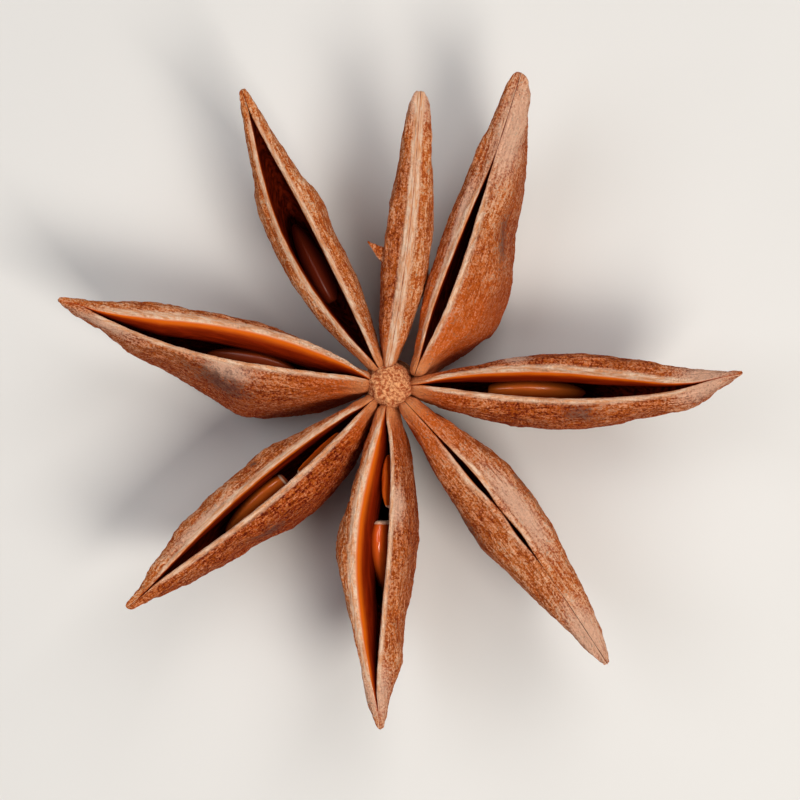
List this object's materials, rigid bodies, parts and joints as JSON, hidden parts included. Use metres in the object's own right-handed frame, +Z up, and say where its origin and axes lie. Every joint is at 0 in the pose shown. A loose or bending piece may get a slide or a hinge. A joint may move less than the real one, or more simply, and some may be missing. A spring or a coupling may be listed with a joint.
{
  "type": "star anise pod",
  "caption": "Dried star-shaped seed pod: boat-shaped woody follicles round a short column, most split open along the top, with glossy flat seeds inside.",
  "frame": {"origin": "middle of the outline seen from above, on the surface that the keels rest on", "axes": "+Z up, the way the open lips look; +X along the longest-reaching follicle, to the right seen from above; +Y towards the two close-set follicles"},
  "size_m": [0.0406, 0.039, 0.0098],
  "materials": {
    "rind": "rough, dry and wrinkled outside, smooth and satin inside the open follicles",
    "seed_coat": "glossy, hard seed coat"
  },
  "bodies": {
    "root": {"pod": "rind", "seed_east": "seed_coat", "seed_northwest": "seed_coat", "seed_west": "seed_coat", "seed_southwest": "seed_coat", "seed_south": "seed_coat"}
  },
  "joints": []
}
